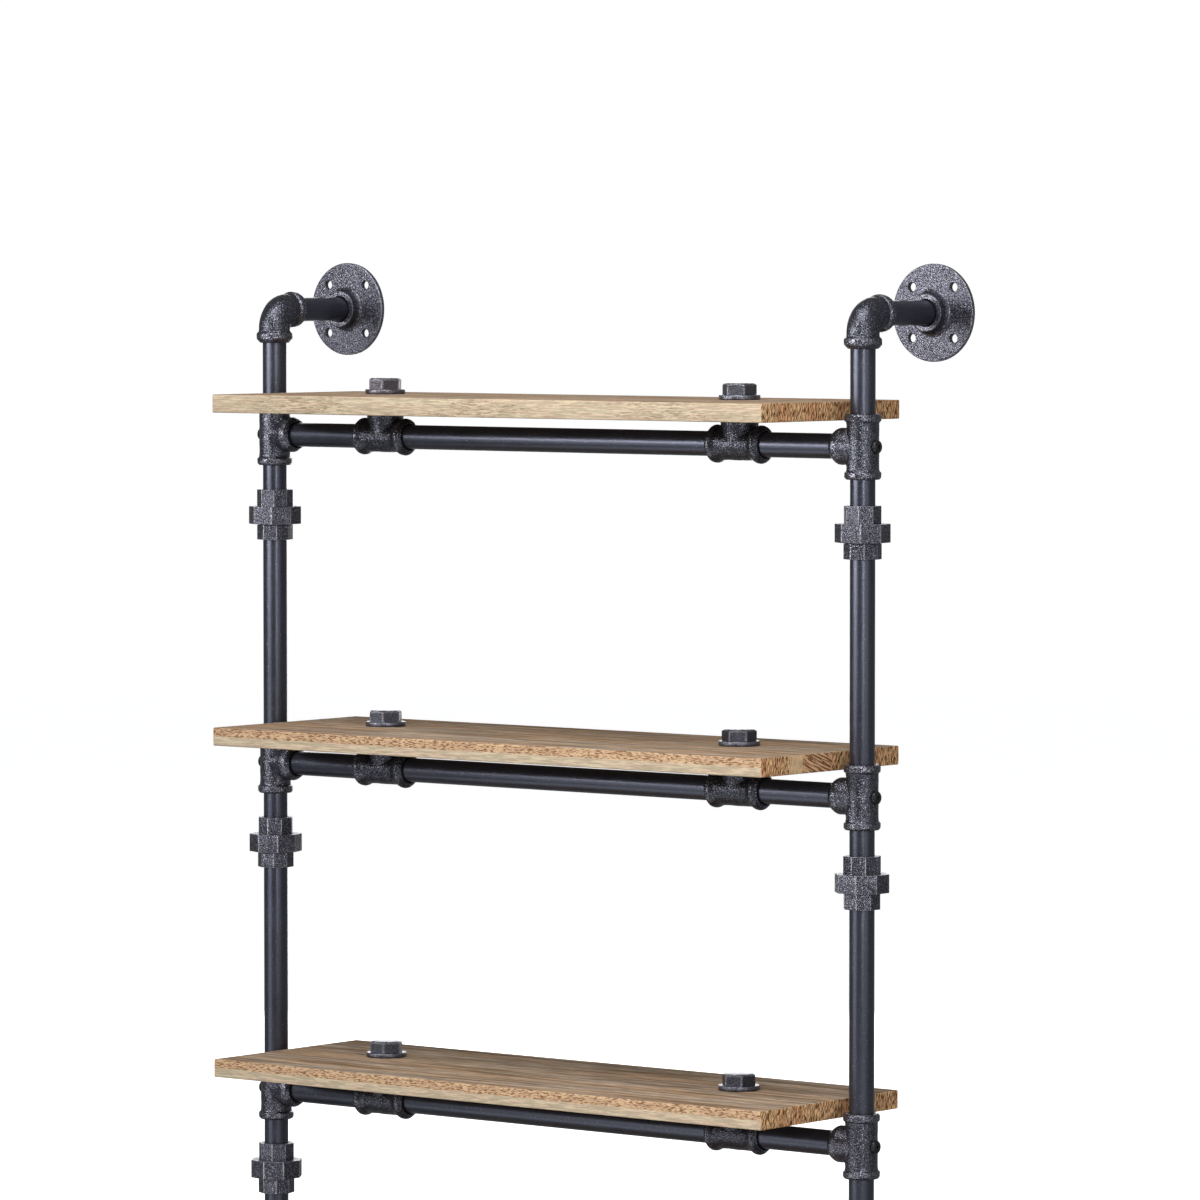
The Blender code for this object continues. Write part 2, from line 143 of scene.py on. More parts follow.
def shaft(name, corners, columns=64):
    # Closed solid turned round Z from an open outline of (r, h, ease) corners
    return skin(name, turnedGrid(softProfile(corners, closed=False), columns), joined=False)


def combined(base, tools, operation):
    # The base mesh with each tool mesh joined to it or cut out of it, one after another
    body = bpy.data.objects.new(base.name, base)
    helpers = [bpy.data.objects.new(tool.name, tool) for tool in tools]
    for item in [body, *helpers]:
        bpy.context.scene.collection.objects.link(item)
    for helper in helpers:
        step = body.modifiers.new(helper.name, "BOOLEAN")
        step.operation, step.solver, step.object = operation, "EXACT", helper
    result = bpy.data.meshes.new_from_object(body.evaluated_get(bpy.context.evaluated_depsgraph_get()))
    for item in [body, *helpers]:
        bpy.data.objects.remove(item)
    return result


def turnedMesh(mesh, angle, axis):
    mesh.transform(Matrix.Rotation(math.radians(angle), 4, axis))
    return mesh


def pointsOf(mesh):
    flat = np.empty(len(mesh.vertices) * 3, np.float32)
    mesh.vertices.foreach_get("co", flat)
    return flat.reshape(-1, 3).astype(float)


def mark(mesh, name, values):
    # One number for each vertex, which the materials read
    layer = mesh.attributes.new(name, "FLOAT", "POINT")
    layer.data.foreach_set("value", np.ascontiguousarray(values, np.float32))
    return mesh


def ramp(values, low, high):
    # Smooth rise from 0 at low to 1 at high
    t = np.clip((values - low) / (high - low), 0, 1)
    return t * t * (3 - 2 * t)


def castWobble(amount, seed):
    # Radius plus a slow uneven swell, a sum of waves round the axis that change along it. Bores stay true
    def shape(radius, height, angle):
        along = height / mm
        swell = (np.sin(3 * angle + seed) * np.sin(along * 0.31 + 2.1 * seed)
                 + 0.7 * np.sin(5 * angle - 1.7 * seed) * np.cos(along * 0.53 + seed)
                 + 0.5 * np.sin(8 * angle + 3 * seed + along * 0.4))
        return radius + amount * mm * swell * ramp(radius, 11.6 * mm, 13 * mm)
    return shape


def addPiece(name, mesh, place, material, nodes=(), sharpFrom=38):
    # A copy of the mesh, moved to its place, riding on the one body. It is shaded smooth, apart from edges
    # that bend by more than the angle sharpFrom
    own = mesh.copy()
    own.name = name
    own.transform(place)
    own.materials.clear()
    own.materials.append(material)
    own.shade_smooth()
    own.set_sharp_from_angle(angle=math.radians(sharpFrom))
    piece = bpy.data.objects.new(name, own)
    bpy.context.scene.collection.objects.link(piece)
    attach(piece, "root")
    if nodes:
        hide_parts(*nodes)
    return piece


def at(x, y, z, turn=0, axis="Z"):
    # Turned about its own origin, then moved
    return Matrix.Translation((x, y, z)) @ Matrix.Rotation(math.radians(turn), 4, axis)


# Shader maths

class Wire:
    # Wraps a shader socket. Operators on a number add Math nodes, on a vector Vector Math nodes and
    # on a colour Mix nodes
    def __init__(self, tree, socket=None):
        self.tree, self.socket = tree, socket

    def node(self, kind, settings=None, sockets=None, out=0):
        made = self.tree.nodes.new(kind)
        for key, value in (settings or {}).items():
            setattr(made, key, value)
        for key, value in (sockets or {}).items():
            if isinstance(value, Wire):
                self.tree.links.new(value.socket, made.inputs[key])
            elif isinstance(value, tuple) and made.inputs[key].type == "RGBA":
                made.inputs[key].default_value = (*value, 1)
            else:
                made.inputs[key].default_value = value
        return Wire(self.tree, None if out is None else made.outputs[out])

    def maths(self, operation, first, second):
        pair = (first, second)
        kinds = {value.socket.type for value in pair if isinstance(value, Wire)}
        wide = [value if isinstance(value, (Wire, tuple)) else (value, value, value) for value in pair]
        if "RGBA" in kinds:
            return self.node("ShaderNodeMix", {"data_type": "RGBA", "blend_type": operation},
                             {0: 1.0, 6: wide[0], 7: wide[1]}, 2)
        if "VECTOR" in kinds:
            return self.node("ShaderNodeVectorMath", {"operation": operation}, {0: wide[0], 1: wide[1]})
        return self.node("ShaderNodeMath", {"operation": operation}, {0: first, 1: second})

    def __add__(self, other):
        return self.maths("ADD", self, other)

    def __radd__(self, other):
        return self.maths("ADD", other, self)

    def __sub__(self, other):
        return self.maths("SUBTRACT", self, other)

    def __rsub__(self, other):
        return self.maths("SUBTRACT", other, self)

    def __mul__(self, other):
        return self.maths("MULTIPLY", self, other)

    def __rmul__(self, other):
        return self.maths("MULTIPLY", other, self)

    def choose(self, low, high):
        # This wire as the factor between two colours
        return self.node("ShaderNodeMix", {"data_type": "RGBA"}, {0: self, 6: low, 7: high}, 2)

    def between(self, low, high, least=0.0, most=1.0):
        # Smooth change from least to most while this wire runs from low to high
        return self.node("ShaderNodeMapRange", {"interpolation_type": "SMOOTHSTEP"},
                         {0: self, 1: low, 2: high, 3: least, 4: most})

    def above(self, edge, soft=0.003):
        # 0 below the edge and 1 above it, with a smooth change between
        return self.between(edge - soft, edge + soft)

    def noise(self, scale, detail, rough, stretch=(1, 1, 1)):
        moved = self.node("ShaderNodeMapping", {}, {0: self, 3: stretch})
        return self.node("ShaderNodeTexNoise", {}, {"Vector": moved, "Scale": scale, "Detail": detail,
                                                    "Roughness": rough})

    def cells(self, scale):
        # Distance from the middle of the nearest cell
        return self.node("ShaderNodeTexVoronoi", {}, {"Vector": self, "Scale": scale})

    def along(self, axis):
        return self.node("ShaderNodeSeparateXYZ", {}, {0: self}, axis)

    def leant(self, angle):
        # Turned about X, in radians
        return self.node("ShaderNodeMapping", {}, {0: self, 2: (angle, 0, 0)})

    def attribute(self, name):
        return self.node("ShaderNodeAttribute", {"attribute_name": name}, out=2)

    def bump(self, depth, strength=1.0):
        return self.node("ShaderNodeBump", {}, {"Height": self, "Distance": depth, "Strength": strength})


def finish(name, recipe, *looks, **constants):
    # A material whose recipe gives the varying sockets, from its looks; constants are set as they are
    material = bpy.data.materials.new(name)
    material.use_nodes = True
    tree = material.node_tree
    tree.nodes.clear()
    start = Wire(tree)
    place = start.node("ShaderNodeTexCoord", out="Object")
    sockets = {key.replace("_", " "): value for key, value in constants.items()}
    shader = start.node("ShaderNodeBsdfPrincipled", {}, {**sockets, **recipe(place, *looks)})
    start.node("ShaderNodeOutputMaterial", {}, {"Surface": shader}, None)
    return material


# Finishes

def paintRecipe(place):
    # Blue-black paint with slow clouds, orange peel and pale specks
    cloud = place.noise(38, 4, 0.6)
    orange = place.noise(700, 2, 0.5)
    specks = place.noise(900, 1, 0.5).between(0.66, 0.74)
    colour = cloud.choose((0.056, 0.059, 0.080), (0.076, 0.080, 0.104))
    colour = (specks * 0.5).choose(colour, (0.26, 0.27, 0.31))
    return {"Base Color": colour, "Roughness": cloud.between(0.3, 0.7, 0.29, 0.35),
            "Normal": (orange + specks * 0.8).bump(0.00006, 0.6)}


# Irons: grain size and depth of the cast skin in metres, its share of slow lumps, and its roughness from
# hollow to top. A pair such as mottle gives the limits of the fine noise between which a colour comes in,
# up to its share. The pale colour on the grain tips is partly wear on the grain tops and partly painted
# glints. A tone below 1 darkens the whole, as painted shade
irons = {
    "fitting": {"grain": 0.0016, "depth": 0.00036, "lumps": 0.5, "rough": (0.34, 0.24),
                "mottle": (0.40, 0.60), "dark": (0.036, 0.038, 0.050), "light": (0.102, 0.104, 0.129),
                "tips": (0.50, 0.58), "tipShare": 0.7, "tipColour": (0.42, 0.42, 0.48),
                "wear": (0.45, 0.60), "wearShare": 0.5, "wearColour": (0.36, 0.35, 0.40),
                "rub": (0.54, 0.66), "rubShare": 0.7, "rubColour": (0.36, 0.21, 0.20)},
    "flange": {"grain": 0.0013, "depth": 0.00028, "lumps": 0.6, "rough": (0.44, 0.32),
               "mottle": (0.40, 0.60), "dark": (0.030, 0.030, 0.041), "light": (0.105, 0.105, 0.130),
               "tips": (0.48, 0.58), "tipShare": 0.8, "tipColour": (0.52, 0.52, 0.60),
               "wear": (0.40, 0.55), "wearShare": 0.6, "wearColour": (0.42, 0.42, 0.48)},
    "union": {"grain": 0.0012, "depth": 0.00032, "lumps": 0.3, "rough": (0.50, 0.36),
              "mottle": (0.42, 0.58), "dark": (0.024, 0.024, 0.033), "light": (0.110, 0.111, 0.138),
              "tips": (0.48, 0.56), "tipShare": 0.8, "tipColour": (0.55, 0.55, 0.63),
              "wear": (0.36, 0.52), "wearShare": 1.0, "wearColour": (0.56, 0.56, 0.62)},
    # On the top board the right plug's paler colour is painted light
    "plug": {"grain": 0.0012, "depth": 0.00030, "lumps": 0.4, "rough": (0.38, 0.28),
             "mottle": (0.40, 0.62), "dark": (0.036, 0.037, 0.050), "light": (0.115, 0.117, 0.144),
             "topShare": 0.35, "leftColour": (0.105, 0.080, 0.080), "rightColour": (0.190, 0.192, 0.225),
             "wear": (0.36, 0.54), "wearShare": 0.4, "wearColour": (0.44, 0.44, 0.50)},
}


def castSkin(place, iron):
    # Sand-cast skin: one round grain in each cell, finer noise between them and slow lumps under both
    grain = place.cells(1 / iron["grain"]).between(0.05, 0.62, 1.0, 0.0)
    fine = place.noise(1.5 / iron["grain"], 2, 0.6)
    lump = place.noise(0.3 / iron["grain"], 2, 0.5)
    return grain, fine, (lump * iron["lumps"] + grain * 0.4 + fine * 0.7).bump(iron["depth"])


def ironRecipe(place, iron):
    # Mottled iron with pale tips on its grain, partly wear and partly painted glints, pale wear on its
    # edges and reddish rubbed spots
    grain, fine, normal = castSkin(place, iron)
    # Pale grain tips: wear on the grain tops, with painted glints
    tips = grain * fine.between(*iron["tips"])
    worn = place.attribute("wear") * fine.between(*iron["wear"])
    colour = fine.between(*iron["mottle"]).choose(iron["dark"], iron["light"])
    colour = (tips * iron["tipShare"]).choose(colour, iron["tipColour"])
    colour = (worn * iron["wearShare"]).choose(colour, iron["wearColour"])
    if "rub" in iron:
        rub = place.noise(75, 3, 0.6).between(*iron["rub"]) * tips
        colour = (rub * iron["rubShare"]).choose(colour, iron["rubColour"])
    # A tone below 1 darkens the whole colour: painted shade
    if "tone" in iron:
        colour = colour * iron["tone"]
    return {"Base Color": colour, "Roughness": fine.between(0.35, 0.65, *iron["rough"]), "Normal": normal}


def plugRecipe(place, iron):
    # Mottled iron with worn edges. On the top board the left plug is browner and the right one paler, a
    # painted light
    fine, normal = castSkin(place, iron)[1:]
    worn = place.attribute("wear") * fine.between(*iron["wear"])
    across, top = place.along(0), place.along(2).above(halfway[1])
    left, right = top * across.between(0.1, -0.1), top * across.between(-0.1, 0.1)
    colour = fine.between(*iron["mottle"]).choose(iron["dark"], iron["light"])
    colour = (left * iron["topShare"]).choose(colour, iron["leftColour"])
    # The right plug on the top board is made paler: painted light
    colour = (right * iron["topShare"]).choose(colour, iron["rightColour"])
    colour = (worn * iron["wearShare"]).choose(colour, iron["wearColour"])
    return {"Base Color": colour, "Roughness": fine.between(0.35, 0.65, *iron["rough"]), "Normal": normal}


def screwRecipe(place):
    # Fine-grained black
    grain = place.noise(1200, 2, 0.5)
    return {"Base Color": grain.choose((0.012, 0.012, 0.014), (0.030, 0.030, 0.034)),
            "Roughness": grain.between(0.3, 0.7, 0.22, 0.36), "Normal": grain.bump(0.00003, 0.5)}


oakColours = {
    # The grey of the board tops stands in for their sheen: painted sheen
    "topGrey": (0.400, 0.310, 0.230), "topWarm": (0.395, 0.265, 0.168), "pore": (0.16, 0.11, 0.07),
    "cream": (0.62, 0.52, 0.365), "creamWarm": (0.65, 0.505, 0.365), "tick": (0.22, 0.15, 0.09),
    "tan": (0.72, 0.50, 0.31), "brown": (0.60, 0.40, 0.25), "fleck": (0.24, 0.12, 0.06),
    "sawnYellow": (0.76, 0.48, 0.25), "sawnRed": (0.72, 0.39, 0.20), "stroke": (0.12, 0.055, 0.024),
    "calm": (0.62, 0.45, 0.27), "lined": (0.68, 0.41, 0.23), "line": (0.14, 0.065, 0.033)}


def oakRecipe(place, wood):
    front, end, rise = (place.attribute(name) for name in ("front", "end", "rise"))
    depth, height = place.along(1), place.along(2)
    # Top: long soft streaks along the board, warm patches, fibres and short pores, over a grey that is
    # painted sheen
    patch = place.noise(1, 3, 0.6, (6, 36, 36)).between(0.40, 0.62)
    streak = place.noise(1, 4, 0.65, (7, 170, 170)).between(0.38, 0.62, 0.58, 1.26)
    fibre = place.noise(1, 2, 0.6, (45, 700, 700)).between(0.36, 0.64, 0.70, 1.20)
    pores = place.noise(1, 2, 0.6, (150, 1500, 1500)).between(0.58, 0.68)
    top = patch.choose(wood["topGrey"], wood["topWarm"]) * streak * fibre
    top = (pores * 0.35).choose(top, wood["pore"])
    # Front edge: pale, with long grain and short dark ticks
    topLevel = height.above(halfway[1])
    dash = place.noise(1, 3, 0.6, (62, 900, 900))
    tint = place.noise(1, 3, 0.6, (22, 190, 190)).between(0.38, 0.62)
    busy = place.noise(1, 2, 0.5, (9, 60, 60)).between(0.44, 0.60)
    ticks = place.noise(1, 2, 0.6, (150, 1100, 1100)).between(0.50, 0.60)
    marks = ticks * (busy * 0.7 + 0.3) * (topLevel * 0.45 + 0.15)
    cream = tint.choose(wood["cream"], wood["creamWarm"]) * dash.between(0.38, 0.60, 1.15, 0.80)
    cream = marks.choose(cream, wood["tick"])
    # Below the top level, its upper half is brown with dark flecks, down to an uneven seam
    fleck = place.noise(1, 2, 0.6, (220, 1300, 1300))
    broad = place.noise(1, 2, 0.6, (30, 300, 300)).between(0.35, 0.65)
    brown = broad.choose(wood["tan"], wood["brown"])
    brown = fleck.between(0.47, 0.60).choose(brown, wood["fleck"])
    seam = (place.noise(90, 2, 0.5) * 0.1 + rise).between(0.54, 0.58)
    edge = (seam * (1 - topLevel)).choose(cream, brown)
    # Right and left ends: short upright strokes
    stroke = place.leant(0.22).noise(1, 2, 0.6, (300, 960, 170)).between(0.43, 0.57)
    warmth = place.noise(1, 2, 0.5, (40, 75, 14)).between(0.40, 0.60)
    sawn = stroke.choose(warmth.choose(wood["sawnYellow"], wood["sawnRed"]), wood["stroke"])
    # On the second level a calm pale part follows them backwards, and then dark slanting lines, from one
    # depth in metres to the next
    calmFrom, linedFrom, linedTo = -0.065, -0.046, -0.009
    slant = place.leant(-1.19).noise(1, 2, 0.5, (300, 600, 45)).between(0.43, 0.55)
    ragged = depth + (place.noise(1, 2, 0.6, (60, 160, 160)) * 0.018 - 0.009)
    second = height.above(halfway[2]) * (1 - topLevel)
    calm = second * ragged.above(calmFrom) * (1 - ragged.above(linedFrom))
    lined = second * ragged.above(linedFrom) * (1 - ragged.above(linedTo))
    sawn = (calm * 0.7).choose(sawn, wood["calm"])
    sawn = (lined * 0.85).choose(sawn, slant.choose(wood["lined"], wood["line"]))
    colour = end.choose(front.choose(top, edge), sawn)
    onTop = (streak * 0.5 + fibre * 0.6 - pores * 0.4) * (1 - end)
    relief = onTop - (dash * 0.4 + fleck * 0.3) * front - stroke * end
    return {"Base Color": colour, "Roughness": fibre.between(0.84, 1.10, 0.66, 0.52),
            "Normal": relief.bump(0.00018, 0.8)}


paint = finish("pipePaint", paintRecipe, Metallic=0.85, IOR=1.45)
castIron = finish("castIron", ironRecipe, irons["fitting"], Metallic=0.9)
# The shelf tees' iron: the fitting iron darkened throughout, painted shade for the boards' shadow over them
dullIron = finish("dullIron", ironRecipe, {**irons["fitting"], "tone": 0.68}, Metallic=0.9)
flangeIron = finish("flangeIron", ironRecipe, irons["flange"], Metallic=0.9)
unionIron = finish("unionIron", ironRecipe, irons["union"], Metallic=0.9)
plugIron = finish("plugIron", plugRecipe, irons["plug"], Metallic=0.9)
screwBlack = finish("screwBlack", screwRecipe, Metallic=0.6)
oak = finish("oakBoard", oakRecipe, oakColours, Specular_IOR_Level=0.0)
print("finishes made")


# Pipes and crossbars

pipe = {"radius": 10.65, "wall": 2.6, "ease": 0.5, "columns": 72}


def pipeMesh(length):
    # Outer wall up and bore down, in one closed ring profile, centred on its own middle
    half, outer, inner = length / mm / 2, pipe["radius"], pipe["radius"] - pipe["wall"]
    ease = pipe["ease"]
    line = softProfile([(inner, -half, ease), (outer, -half, ease),
                        (outer, half, ease), (inner, half, ease)])
    return skin("pipe", turnedGrid(line, pipe["columns"]))


def addPipes():
    # Each straight pipe runs along the longest side of its node's box
    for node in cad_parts:
        if not node.startswith(("top_pipe", "post_nipple", "post_pipe", "wall_arm", "crossbar")):
            continue
        low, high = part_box(node)
        size = high - low
        axis = max(range(3), key=lambda k: size[k])
        turn = {0: (90, "Y"), 1: (90, "X"), 2: (0, "Z")}[axis]
        words = node.split("_")
        name = words[0] + "".join(word.capitalize() for word in words[1:])
        addPiece(name, pipeMesh(size[axis]), at(*((low + high) / 2), *turn), paint, [node])


addPipes()
print("pipes done")


# Tees

# A mouth's outline: radius, distance back from the mouth, ease
postTee = {"body": 13.8, "root": 12.6, "band": 15.6, "halfRun": 27.4, "reach": 26.5, "socket": 10.95,
           "runMouth": [(14.1, 0, 0.4), (15.6, 1.7, 0.7), (15.6, 5.9, 0.5), (14.15, 7.0, 0.5),
                        (13.8, 8.6, 1.0)],
           "branchMouth": [(13.0, 0, 0.5), (15.6, 4.0, 1.2), (15.6, 8.2, 1.5)],
           "fillet": 2.6, "screwHole": 3.2, "wobble": 0.09, "seed": 1.3}
shelfTee = {"body": 13.8, "root": 12.6, "band": 16.3, "halfRun": 28.3, "reach": 21.2, "socket": 10.95,
            "runMouth": [(12.6, 0, 0.5), (16.3, 3.3, 1.7), (16.3, 6.3, 1.7), (13.8, 11.2, 2.6)],
            "branchMouth": [(15.9, 0, 0.4), (16.3, 0.8, 0.5), (16.3, 3.8, 1.2)],
            "fillet": 2.6, "stemHole": 10.5, "wobble": 0.09, "seed": 4.1}
teeColumns = 96
boreChamfer = 0.9


def boreMouth(radius, face):
    # The end of a bore at a face: its chamfer, run on past the face so that it cuts clean
    wide = radius + boreChamfer
    return [(radius, face - boreChamfer, 0), (wide, face + 0.01, 0), (wide + 0.2, face + 2, 0)]


def teeBody(tee):
    # Barrel along Z: an outline of mouth, body and mouth, turned round it
    half, reach, body, root, band = (tee[key] for key in ("halfRun", "reach", "body", "root", "band"))
    lower = [(radius, back - half, ease) for radius, back, ease in tee["runMouth"]]
    upper = [(radius, -height, ease) for radius, height, ease in reversed(lower)]
    line = softProfile([(nearAxis, -half, 0), *lower, *upper, (nearAxis, half, 0)], closed=False)
    wobble = castWobble(tee["wobble"], tee["seed"])
    barrel = skin("tee", turnedGrid(refined(line, 1.1), teeColumns, wobble), joined=False)
    # Branch along X, its radius n(x) = root + (band - root) x / crest out to the crest of its band. It
    # starts where x^2 + (n cos a)^2 = body^2, found by repeated steps, with a fillet that adds f (1 - t)^2
    # to the radius while x runs f t^2
    angle = ringAngles(teeColumns)
    across, upward = np.cos(angle), np.sin(angle)
    mouth = tee["branchMouth"]
    crest = reach - mouth[-1][1]

    def flare(x):
        return root + (band - root) * np.minimum(x / crest, 1)

    foot = body * np.abs(upward)
    for _ in range(8):
        foot = np.sqrt(np.maximum(body ** 2 - (flare(foot) * across) ** 2, 0))
    fillet = np.clip(crest - foot - 0.1, 0, tee["fillet"]) * upward ** 2
    t = np.linspace(0, 1, 7)[:, None]
    filletX = foot + fillet * t ** 2
    filletRadius = flare(filletX) + fillet * (1 - t) ** 2
    outer = [(radius, reach - back, ease) for radius, back, ease in reversed(mouth)]
    begin = crest - 1.2
    bead = softProfile([(flare(begin), begin, 0), *outer, (nearAxis, reach, 0)], closed=False)
    beadRadius = wobble(bead[:, :1] + 0 * angle, bead[:, 1:2], angle) / mm
    # Rows: two inside the barrel, the fillet, then the bead. None may turn back along X
    radius = np.concatenate([0 * foot + 1.0, filletRadius[:1] - 0.4, filletRadius, beadRadius])
    along = np.concatenate([0 * foot, foot - 2.0, filletX, bead[:, 1:2] / mm + 0 * angle])
    along = np.maximum.accumulate(along, 0)
    grid = np.stack([along, radius * across, radius * upward], -1) * mm
    return combined(barrel, [skin("branch", grid, joined=False)], "UNION")


def teeMesh(tee):
    # The body less a bore along the run, a bore into the branch and a hole for the screw
    half, reach, band = tee["halfRun"], tee["reach"], tee["band"]
    upper = boreMouth(tee["socket"], half)
    lower = [(radius, -height, ease) for radius, height, ease in reversed(upper)]
    branchRadius = tee.get("stemHole", tee["socket"])
    side = shaft("branch bore", [(branchRadius, 0, 0), *boreMouth(branchRadius, reach)])
    tools = [shaft("run bore", [*lower, *upper]), turnedMesh(side, 90, "Y")]
    if "screwHole" in tee:
        hole = shaft("screw hole", [(tee["screwHole"], 5, 0), (tee["screwHole"], 16, 0)], 32)
        tools.append(turnedMesh(hole, -90, "Y"))
    mesh = combined(teeBody(tee), tools, "DIFFERENCE")
    # Wear on the crests of the bands
    x, y, z = (pointsOf(mesh) / mm).T
    crest = reach - tee["branchMouth"][-1][1]
    onRun = np.abs(z) > half - tee["runMouth"][-1][1]
    wear = np.maximum(ramp(np.hypot(x, y), band - 1.0, band - 0.1) * onRun,
                      ramp(np.hypot(y, z), band - 1.0, band - 0.1) * (x > crest - 1))
    return mark(mesh, "wear", wear)


def addTees():
    post = teeMesh(postTee)
    shelf = turnedMesh(teeMesh(shelfTee), -90, "Y")
    for level in levels:
        for side in sides:
            turn = 180 if side == "right" else 0
            height = barHeight[level]
            label, ending = f"{side}_{level}", f"{side.capitalize()}{level}"
            addPiece("postTee" + ending, post, at(postX[side], postY, height, turn),
                     castIron, ["post_tee_" + label])
            # The shelf tees take the darker iron, painted shade
            addPiece("shelfTee" + ending, shelf, at(middle("shelf_tee_" + label).x, postY, height),
                     dullIron, ["shelf_tee_" + label])


addTees()
print("tees done")


# Unions

union = {"upper": 15.0, "nut": 15.7, "lower": 14.0, "endFlats": 29.8, "nutFlats": 43.6, "edge": 0.45,
         "gap": 0.9, "socket": 10.95, "sides": 8, "sharpness": 120, "columns": 256}
# How far the upper end, nut and lower end of each union are screwed round, in degrees, by level
unionTurns = {"left": ((37, 33, 1), (15, 0, 34), (27, 12, 40)),
              "right": ((24, 32, 41), (2, 23, 19), (35, 8, 12))}


def unionMesh(turns):
    # A ring profile whose radius is that of a soft octagon. The upper end, nut and lower end each have
    # their own turn
    edge, socket = union["edge"], union["socket"]
    total = union["upper"] + union["nut"] + union["lower"]
    nutLow, nutHigh = -union["upper"] - union["nut"], -union["upper"]
    end, nut = union["endFlats"] / 2, union["nutFlats"] / 2
    gap, groove = union["gap"], end - union["gap"]
    line = softProfile([(socket, -total, 0.3), (end, -total, edge), (end, nutLow - gap, 0.2),
                        (groove, nutLow - gap, 0), (groove, nutLow, 0), (nut, nutLow, edge),
                        (nut, nutHigh, edge), (end, nutHigh, 0), (end, 0, edge), (socket, 0, 0.3)])
    apothem, heights = line[:, :1] / mm, line[:, 1:2] / mm
    upperTurn, nutTurn, lowerTurn = turns
    onNut = apothem > end + 1e-3
    turn = np.where(onNut, nutTurn, np.where(heights > nutHigh - 1e-3, upperTurn, lowerTurn))
    angle = ringAngles(union["columns"])
    octagon = softPolygon(angle - np.radians(turn), union["sides"], math.pi / union["sides"],
                          union["sharpness"])
    outside = apothem > socket + 0.4
    grid = roundGrid(apothem * np.where(outside, octagon, 1), heights, angle) * mm
    # Wear: close to a corner of the octagon, or close to the rim of a part but not where an end meets
    # the nut
    corner = ramp(octagon, 1.068, 1.078) * outside
    rims = np.abs(heights - np.array([[-total, nutLow, nutHigh, 0]])).min(1, keepdims=True)
    atNut = (apothem < end + 0.01) & (np.abs(heights - nutHigh) < 0.01)
    rim = (1 - ramp(rims, 0.10, 0.45)) * (apothem > end - 0.5) * ~atNut * 0.6
    return mark(skin("union", grid), "wear", np.maximum(corner, rim).reshape(-1))


def addUnions():
    for level in levels[:-1]:
        for side in sides:
            node = f"union_{side}_{level}"
            addPiece(f"union{side.capitalize()}{level}", unionMesh(unionTurns[side][level - 1]),
                     at(postX[side], postY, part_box(node)[1].z), unionIron, [node], 30)


addUnions()
print("unions done")


# Elbows

elbow = {"bend": 16.5, "reach": 29.5, "body": 14.0, "band": 16.0, "bandWidth": 6.8, "lipLength": 3.4,
         "lip": 12.8, "socket": 10.95, "chamferDepth": 0.9, "chamferOut": 0.8, "soft": 1.0,
         "wobble": 0.10, "seed": 2.2, "columns": 96}


def elbowMesh():
    # Ring of radius r(s) carried along a leg, a quarter turn and a leg: centre p(s), with its plane
    # turned by the angle of the bend. The outer wall goes out, the bore comes back
    bend, reach, body, band = elbow["bend"], elbow["reach"], elbow["body"], elbow["band"]
    leg, soft = reach - bend, elbow["soft"]
    total = 2 * leg + bend * math.pi / 2
    lip, width, socket = elbow["lipLength"], elbow["bandWidth"], elbow["socket"]
    deep, opening = elbow["chamferDepth"], socket + elbow["chamferOut"]
    mouth = [(elbow["lip"], 0, 0.6), (band, lip, soft),
             (band, lip + 0.75 * width, soft), (body, lip + width, soft)]
    outer = mouth + [(radius, total - s, ease) for radius, s, ease in reversed(mouth)]
    line = softProfile([(socket, deep, 0.2), (opening, 0, 0.3), *outer,
                        (opening, total, 0.3), (socket, total - deep, 0.2)])
    line = refined(np.concatenate([line, line[:1]]), 1.1)[:-1]
    angle = ringAngles(elbow["columns"])
    wobble = castWobble(elbow["wobble"], elbow["seed"])
    radius = wobble(line[:, :1] + 0 * angle, line[:, 1:2], angle) / mm
    s = line[:, 1:2] / mm
    swing = np.clip((s - leg) / bend, 0, math.pi / 2)
    centreY = bend * (1 - np.cos(swing)) + np.maximum(s - (total - leg), 0)
    centreZ = -reach + np.minimum(s, leg) + bend * np.sin(swing)
    grid = np.stack([radius * np.cos(angle), centreY + radius * np.sin(angle) * np.cos(swing),
                     centreZ - radius * np.sin(angle) * np.sin(swing)], -1) * mm
    mesh = skin("elbow", grid)
    return mark(mesh, "wear", ramp(radius, band - 0.9, band - 0.1).reshape(-1))


def addElbows():
    mesh = elbowMesh()
    for side in sides:
        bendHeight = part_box("elbow_" + side)[0].z + elbow["reach"] * mm
        addPiece("elbow" + side.capitalize(), mesh, at(postX[side], postY, bendHeight),
                 castIron, ["elbow_" + side])


addElbows()
print("elbows done")


# Flanges and legs

flange = {"radius": 41.5, "thickness": 4.0, "hub": 16.3, "foot": 18.8, "height": 14.5, "socket": 10.95,
          "footRise": 3.6, "chamferDepth": 0.9, "chamferOut": 0.8, "hole": 3.7, "holeChamfer": 0.7,
          "holeCount": 4, "holeCircle": 30.6, "wobble": 0.06, "seed": 0.7, "columns": 144}


